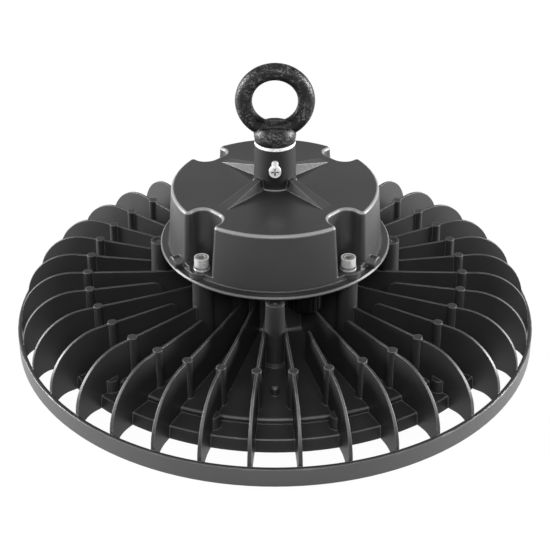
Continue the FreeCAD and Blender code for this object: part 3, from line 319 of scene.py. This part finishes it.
def hanging_post(paint):
    """The post in the middle that holds the eye."""
    height, reach = height_and_reach(paint)
    return height.between(*POST_HEIGHT) * reach.between(*POST_REACH)


def rib_sides(paint):
    """The flanks of the ribs on the cover."""
    height, reach = height_and_reach(paint)
    tilt = facing(paint, "Z")
    return height.between(*RIB_HEIGHT) * reach.between(*RIB_REACH) * tilt.between(*RIB_SLOPE)


print("the rim band begins", round(RIM_HEIGHT[0] / MM, 1), "mm above the table")

# %% [markdown]
# ## Powder coat
#
# The casting and the housing are sprayed with black powder and baked. The powder flows into a fine orange peel
# that follows the grain of the die-cast skin. Colour and sheen differ a little from place to place, and dust
# settles in specks. One even black would look like a hole, so each of these is a noise at about its real size.

# %% The powder coats
BLACK = 0.018
SHOULDERS = (0.25, 0.5)
SHOULDER_HIGHLIGHT = 0.32


def powder_coat(name, roughness, edge_level, patches, sheltered=None, edge=0.7 * MM):
    """A black coat. Each patch is a mask's function, its grey, and how much rougher the coat is there."""
    paint = Paint(name, IOR=1.5)
    edges, rounded = edge_mask(paint, edge)
    clouds = paint.noise(24 * MM, detail=4)
    specks = paint.noise(1.1 * MM, detail=2)
    # Painted highlight: edges and slopes that face up are lightened. On the edges it is partly the thin, rubbed
    # coat as well. Where a sheltered mask is given, the lightening is toned down there.
    shoulders = sloping(paint, *SHOULDERS) * SHOULDER_HIGHLIGHT
    edge_wear_and_highlight = edges.join("MAXIMUM", edges, shoulders) * (0.55 + specks * 0.6)
    if sheltered:
        edge_wear_and_highlight = edge_wear_and_highlight * (1 - sheltered(paint))
    shade = paint.mixed(clouds.between(0.3, 0.7), grey(BLACK * 0.88), grey(BLACK * 1.14))
    shade = paint.mixed(specks.between(0.58, 0.75) * 0.35, shade, grey(BLACK * 1.8))
    # Noise is about a half on average, so half of the two factors is taken off again.
    rough = clouds * 0.08 + specks * 0.1 + (roughness - 0.09)
    for mask, level, extra in patches:
        here = mask(paint)
        shade = paint.mixed(here, shade, grey(level))
        rough = rough + here * extra
    shade = paint.mixed(edge_wear_and_highlight.clipped(), shade, grey(edge_level))
    peel = paint.noise(0.4 * MM, detail=2, roughness=0.6)
    return paint.finish(shade, rough, peel, 0.012 * MM, rounded)


# Every patch below is painted light: a lighter grey for gleams these lamps don't give, and a painted darker shade
# on the hanging post.
CASTING_PAINTED_LIGHT = [(outer_ring, 0.05, -0.05)]
HOUSING_PAINTED_LIGHT_AND_SHADE = [
    (side_walls, 0.036, 0.0),
    (rim_band, 0.17, 0.0),
    (hanging_post, 0.001, 0.35),
    (rib_sides, 0.036, 0.0),
]
casting_coat = powder_coat("casting_coat", 0.44, 0.2, CASTING_PAINTED_LIGHT, near_hub)
housing_coat = powder_coat("housing_coat", 0.36, 0.26, HOUSING_PAINTED_LIGHT_AND_SHADE, edge=0.45 * MM)
print("powder coats:", casting_coat.name, housing_coat.name)

# %% [markdown]
# ## The forged eye
#
# The eye bolt is forged hot and then blackened. Hammer scale leaves pits a millimetre or two wide, with bare spots
# between them, and the coat over them throws small bright spots instead of one clean highlight. The pits could be
# modelled, but at this size bumps in the material show the same and cost nothing.

# %% Forged and coated steel


def forged_steel():
    paint = Paint("forged_eye_coat", IOR=1.42)
    edges, rounded = edge_mask(paint, 1.2 * MM)
    scale = paint.noise(1.3 * MM, detail=4, roughness=0.7)
    dents = paint.noise(6 * MM, detail=2)
    bare = scale.between(0.5, 0.6) * dents.between(0.4, 0.55)
    pits = scale.between(0.5, 0.4)
    shade = paint.mixed(dents.between(0.35, 0.65), grey(0.001), grey(0.004))
    shade = paint.mixed(bare * 0.6, shade, grey(0.13))
    shade = paint.mixed(pits, shade, grey(0.001))
    # Painted highlight: the edges are lightened.
    shade = paint.mixed(edges * 0.3, shade, grey(0.16))
    relief = scale * 0.5 + dents * 0.25
    return paint.finish(shade, 0.33 + pits * 0.35, relief, 0.5 * MM, rounded)


forged_coat = forged_steel()
print("forged coat:", len(forged_coat.node_tree.nodes), "nodes")

# %% [markdown]
# ## Plated steel
#
# The screws and washers are zinc plated. The plating is bright, with a fine cloudiness. The gaps between the
# stacked washers are painted dark as painted shade, and the edges are painted nearly white as a painted highlight.
# These gaps could be drawn, but the Ambient Occlusion node finds them from the shape.

# %% Plating
GAP_WIDTH = 1.2 * MM


def plated(name, level, roughness, marks=None):
    """Zinc plating. The marks of a tool, if there are any, change its shade and its height."""
    paint = Paint(name, Metallic=0.45)
    edges, rounded = edge_mask(paint, 0.35 * MM)
    clouds = paint.noise(1.6 * MM, detail=4)
    shade = paint.mixed(clouds.between(0.35, 0.65), grey(level * 0.72, -0.012), grey(level))
    # Painted shade: the gaps between stacked parts are darkened.
    open_air = paint.add("ShaderNodeAmbientOcclusion", {"samples": 4}, {"Distance": GAP_WIDTH}, "AO")
    shade = paint.mixed(open_air.between(0.9, 0.5), shade, grey(0.01))
    # Painted highlight: the edges are lightened to nearly white.
    shade = paint.mixed(edges * 0.6, shade, grey(1.0))
    height = clouds * 0.15
    if marks:
        shade, height = marks(paint, level, shade, height)
    return paint.finish(shade, clouds * 0.18 + roughness, height, 0.25 * MM, rounded)


zinc = plated("bright_zinc", 0.86, 0.28)
dull_zinc = plated("dull_zinc", 0.2, 0.4)
white_washer = plated("bright_washer", 0.9, 0.42)
print("plated:", zinc.name, dull_zinc.name, white_washer.name)

# %% [markdown]
# ## Knurled heads
#
# The socket heads are knurled by rolling, so that fingers can spin them in: narrow grooves run down the side all
# round. The top is turned and keeps rings from the tool. Real grooves on four small heads would need many
# thousands of faces. Both marks are waves instead, one over the angle round the screw's own axis and one over the
# distance from it. The four screws mirror each other, so one pair of waves serves them all.

# %% Knurling and turning marks
KNURLS = 36
RING_SCALE = 0.36 * MM  # the rings repeat every 2 pi times this, which is about 2.3 mm


def screw_centre(node):
    """How far from the light's axis, along X, the four screws of a group stand."""
    points = [vertex.co for vertex in nodes[node].data.vertices if vertex.co.x > 0 and vertex.co.y > 0]
    return (min(point.x for point in points) + max(point.x for point in points)) / 2


def wave(angle):
    """A sine wave between 0 and 1."""
    return angle.join("SINE", angle) * 0.5 + 0.5


def rolled_and_turned(paint, level, shade, height):
    """Grooves down the side of each cover screw's head, and rings on its top."""
    centre = screw_centre("cover_screws")
    place = paint.add("ShaderNodeTexCoord", output="Object")
    x = paint.add("ShaderNodeSeparateXYZ", None, {"Vector": place}, "X")
    along_x, along_y = abs(x) - centre, abs(x.output("Y")) - centre
    ridges = wave(x.join("ARCTAN2", along_y, along_x) * KNURLS)
    rings = wave((along_x * along_x + along_y * along_y) ** 0.5 / RING_SCALE)
    side = abs(facing(paint, "Z")).between(0.5, 0.2)
    shade = paint.mixed((1 - side) * rings.between(0.3, 0.8) * 0.75, shade, grey(level * 0.16))
    # Painted shade: the bottoms of the side grooves are darkened.
    shade = paint.mixed(side * (1 - ridges) * 0.3, shade, grey(level * 0.3))
    return shade, height + side * ridges


knurled_zinc = plated("knurled_zinc", 0.74, 0.28, rolled_and_turned)
screw_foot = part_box("cover_screws")[0].z
print("screws stand", round(screw_centre("cover_screws") / MM, 1), "mm out along X and Y")
print("their feet are", round(screw_foot / MM, 1), "mm above the table")

# %% [markdown]
# ## Moulded, rubber and electrical pieces
#
# The cable gland and the breather are moulded nylon, the seals are silicone or rubber, and inside sit the boards,
# the transformer and the other driver parts. Each has its own colour, slight blotches and a fine skin. One
# function makes them all, as they differ only in colour, gloss and the size of the blotches. The nylon gets a low
# index of refraction, because its face hardly shines.

# %% Plain finishes


def plain(name, colour, roughness, spot=4 * MM, ior=1.5):
    paint = Paint(name, IOR=ior)
    spots = paint.noise(spot, detail=3)
    skin = paint.noise(0.5 * MM, detail=2)
    darker = tuple(channel * 0.78 for channel in colour[:3]) + (1,)
    shade = paint.mixed(spots.between(0.3, 0.7), darker, colour)
    return paint.finish(shade, skin * 0.14 + (roughness - 0.07), skin, 0.02 * MM)


FINISHES = {
    "casting_black": casting_coat,
    "housing_black": housing_coat,
    "forged_black": forged_coat,
    "zinc_steel": zinc,
    "washer_white": white_washer,
    "nylon_black": plain("black_nylon", grey(0.001), 0.6, ior=1.2),
    "rubber_black": plain("black_rubber", grey(0.022), 0.65),
    "silicone_grey": plain("silicone", grey(0.25), 0.6),
    "board_white": plain("white_mask", grey(0.8), 0.4),
    "phosphor_yellow": plain("phosphor", (0.8, 0.6, 0.12, 1), 0.5, spot=1 * MM),
    "board_green": plain("green_mask", (0.02, 0.12, 0.05, 1), 0.35),
    "ferrite_grey": plain("ferrite", grey(0.06), 0.6, spot=1.5 * MM),
    "tape_yellow": plain("tape", (0.7, 0.45, 0.03, 1), 0.35),
    "sleeve_black": plain("sleeve", grey(0.02, 0.2), 0.3),
    "copper": plain("enamelled_copper", (0.5, 0.16, 0.05, 1), 0.3, spot=1 * MM),
    "terminal_green": plain("terminal_plastic", (0.05, 0.3, 0.1, 1), 0.4),
    "lead_white": plain("lead_jacket", grey(0.7), 0.5),
}
print(len(FINISHES), "finishes so far")

# %% [markdown]
# ## The clear plate
#
# The plate under the LEDs is clear polycarbonate with a dome under each LED. It lets the white board and the
# yellow LEDs show through, slightly softened by the fine wave of the moulded face. Transmission in the Principled
# shader bends the light as the plastic does, which a half-transparent surface would not.

# %% Clear polycarbonate


def clear_plastic():
    paint = Paint("clear_polycarbonate", IOR=1.58, Transmission_Weight=1.0)
    waves = paint.noise(9 * MM, detail=2)
    shade = paint.mixed(waves, (0.9, 0.93, 0.95, 1), (0.97, 0.98, 0.99, 1))
    return paint.finish(shade, waves * 0.08 + 0.04, waves, 0.04 * MM)


FINISHES["clear_plastic"] = clear_plastic()
print("the plate is", FINISHES["clear_plastic"].name)

# %% [markdown]
# ## Dressing the nodes
#
# The record names a material slot for every piece, and each node gets the finish of its slot. Two groups differ:
# the heads of the cover screws are knurled, and their spring washers are of dull spring steel.

# %% Give every node its finish


def dress(node, finish):
    nodes[node].data.materials.clear()
    nodes[node].data.materials.append(finish)


for part in frame["record"]["subparts"]:
    dress(part["node"], FINISHES[part["material_slot"]])
dress("cover_screws", knurled_zinc)
dress("spring_washers", dull_zinc)

# %% [markdown]
# ## The white table
#
# The light stands on a white table in a white room. A plain white table comes out grey where the lamps are weak,
# so for the camera, and for what it sees in a gloss or through clear plastic, most of the table's own look is
# replaced by an even glow. The little that is left still darkens under the object.

# %% The white table
FLOOR_GLOW = 0.97
TABLE_REACH = 6.0


def floor_material():
    paint = Paint("white_table", Roughness=0.9)
    paint.set(paint.shader, "Base Color", grey(0.8))
    rays = paint.add("ShaderNodeLightPath", output="Is Camera Ray")
    seen = (rays + rays.output("Is Glossy Ray") + rays.output("Is Transmission Ray")).clipped()
    glow = paint.add("ShaderNodeEmission", None, {"Color": grey(1.0), "Strength": 1})
    own_look = Value(paint, paint.shader.outputs["BSDF"])
    surface = paint.add("ShaderNodeMixShader", None, {0: seen * FLOOR_GLOW, 1: own_look, 2: glow})
    paint.set(paint.tree.nodes["Material Output"], "Surface", surface)
    return paint.material


def table_top():
    mesh = bpy.data.meshes.new("table")
    corners = [(x * TABLE_REACH, y * TABLE_REACH, 0) for x, y in ((-1, -1), (1, -1), (1, 1), (-1, 1))]
    mesh.from_pydata(corners, [], [(0, 1, 2, 3)])
    mesh.materials.append(floor_material())
    return bpy.data.objects.new("table", mesh)


table = table_top()
bpy.context.scene.collection.objects.link(table)
print("the table is", 2 * TABLE_REACH, "m wide")

# %% [markdown]
# ## The white room
#
# The room is a plain white glow all round. The camera sees it pure white, but black metal would turn grey in that
# much light, so it lights the object with far less.

# %% The white room
ROOM_LIGHT = 0.12
world = bpy.data.worlds.new("white_room")
world.use_nodes = True
bpy.context.scene.world = world
room = Graph(world.node_tree)
rays = room.add("ShaderNodeLightPath", output="Is Camera Ray")
seen = rays.join("MAXIMUM", rays, rays.output("Is Transmission Ray"))
background = world.node_tree.nodes["Background"]
room.set(background, "Color", grey(1.0))
room.set(background, "Strength", ROOM_LIGHT + seen * (1 - ROOM_LIGHT))
print("the room glows at", ROOM_LIGHT)

# %% [markdown]
# ## The lamps
#
# Black gloss shows little but what it reflects, so the lamps are softboxes, large and soft. One above and behind
# lights the tops, one on each side lights the walls and the flanks of the fins, one high in front lights the
# rounded rim, and a weak one behind adds a little light from the far side.

# %% The softboxes
AIM_HEIGHT = 0.06
SOFTBOXES = {
    # name: place, width and height in metres, power in watts
    "overhead": ((0, 0.3, 1.8), 1.4, 1.0, 5.5),
    "left": ((-1.6, 0.25, 0.45), 0.4, 0.9, 60),
    "right": ((1.6, 0.25, 0.45), 0.4, 0.9, 60),
    "front_high": ((0, -1.25, 1.1), 1.0, 0.6, 19),
    "behind": ((0, 1.6, 1.0), 2.0, 0.6, 3),
}


def point_at(thing, target):
    """Turns a lamp or a camera, which look along their own -Z, towards a point."""
    thing.rotation_euler = (target - thing.location).to_track_quat("-Z", "Y").to_euler()


for name, (place, width, height, power) in SOFTBOXES.items():
    lamp = bpy.data.lights.new(name, "AREA")
    lamp.shape = "RECTANGLE"
    lamp.size, lamp.size_y, lamp.energy = width, height, power
    softbox = bpy.data.objects.new(name, lamp)
    softbox.location = place
    point_at(softbox, Vector((0, 0, AIM_HEIGHT)))
    bpy.context.scene.collection.objects.link(softbox)
print(len(SOFTBOXES), "softboxes")

# %% [markdown]
# ## The camera
#
# A long lens that looks down at about 32 degrees shows the crown, the fins and the ring at once. A short lens
# from nearby would make the front of the ring look too large.

# %% The camera
EYE = (0, -0.72706, 0.48283)
TARGET = Vector((0, 0, 0.03438))
LENS_LENGTH = 92.95
SENSOR_WIDTH = 36
lens = bpy.data.cameras.new("camera")
lens.lens = LENS_LENGTH
lens.sensor_width = SENSOR_WIDTH
camera = bpy.data.objects.new("camera", lens)
camera.location = EYE
point_at(camera, TARGET)
bpy.context.scene.collection.objects.link(camera)
bpy.context.scene.camera = camera
bpy.context.scene.view_settings.view_transform = "Standard"
print("the camera is", round((TARGET - camera.location).length, 2), "m from its target")
